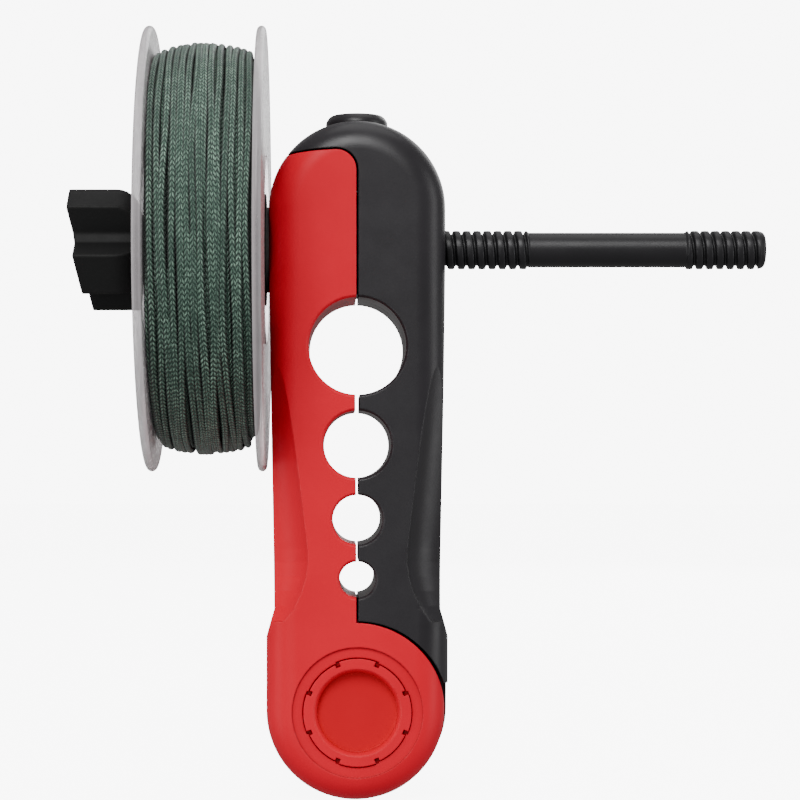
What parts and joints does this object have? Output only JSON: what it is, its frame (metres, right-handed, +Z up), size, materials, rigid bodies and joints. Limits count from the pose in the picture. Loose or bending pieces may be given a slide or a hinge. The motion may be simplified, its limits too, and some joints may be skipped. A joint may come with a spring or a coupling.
{
  "type": "fishing line spooler",
  "caption": "Rod-clamp line spooler: two hinged jaws grip a rod, and a flanged spool of braided line turns on a side axle between cones set by a wing nut.",
  "frame": {"origin": "axis of the largest rod hole, midway between the front and back faces", "axes": "+X towards the long threaded axle, +Y away from the front face along the rod holes, +Z up from the jaw pivot to the latch button"},
  "size_m": [0.1622, 0.1034, 0.1788],
  "materials": {
    "red_plastic": "satin moulded ABS",
    "black_plastic": "fine satin moulded ABS",
    "axle_plastic": "satin glass-filled nylon",
    "nut_plastic": "matte moulded nylon",
    "clear_plastic": "slightly milky clear polystyrene",
    "braided_line": "waxed polyethylene braid",
    "steel": "zinc plated",
    "spring_steel": "drawn spring wire",
    "nylon": "natural nylon",
    "felt": "pressed wool felt",
    "brass": "turned brass"
  },
  "bodies": {
    "red_jaw": {"red_front_shell": "red_plastic", "red_back_shell": "red_plastic", "red_shell_screws": "steel", "pivot_cap_front": "red_plastic", "pivot_bolt": "steel", "pivot_nut": "steel", "pivot_washers": "nylon", "torsion_spring": "spring_steel", "short_axle": "axle_plastic", "brake_washer": "felt", "inner_cone": "nut_plastic"},
    "black_jaw": {"black_front_shell": "black_plastic", "black_back_shell": "black_plastic", "black_shell_screws": "steel", "pivot_cap_back": "black_plastic", "long_axle": "axle_plastic", "latch_leaf": "spring_steel", "latch_leaf_screw": "steel", "button_spring": "spring_steel"},
    "latch_button": {"latch_button": "black_plastic"},
    "spool": {"spool_inner_half": "clear_plastic", "spool_outer_half": "clear_plastic", "line_winding": "braided_line"},
    "outer_cone": {"outer_cone": "nut_plastic", "drag_spring": "spring_steel"},
    "wing_nut": {"wing_nut": "nut_plastic", "wing_nut_insert": "brass"}
  },
  "joints": [
    {"name": "jaw_hinge", "type": "hinge", "parent": "red_jaw", "child": "black_jaw", "pos_m": [0, 0, -0.0835], "axis": [0, 1, 0], "range_deg": [0, 18], "stiffness_Nm_per_rad": 0.8, "springref_deg": -14.32, "deforming": ["torsion_spring", "latch_leaf"]},
    {"name": "button_press", "type": "slide", "parent": "black_jaw", "child": "latch_button", "axis": [0, 0, -1], "range_m": [0, 0.0018], "stiffness_N_per_m": 900, "springref_m": -0.001, "deforming": ["button_spring", "latch_leaf"]},
    {"name": "spool_spin", "type": "hinge", "parent": "red_jaw", "child": "spool", "pos_m": [-0.0349, 0, 0.0231], "axis": [1, 0, 0], "continuous": true},
    {"name": "cone_slide", "type": "slide", "parent": "red_jaw", "child": "outer_cone", "axis": [-1, 0, 0], "range_m": [0, 0.006]},
    {"name": "wing_nut_turn", "type": "hinge", "parent": "outer_cone", "child": "wing_nut", "pos_m": [-0.0563, 0, 0.0231], "axis": [-1, 0, 0], "range_deg": [0, 900]}
  ],
  "couplings": [
    {"joint": "cone_slide", "follows": "wing_nut_turn", "m_per_rad": 0.00038197}
  ]
}
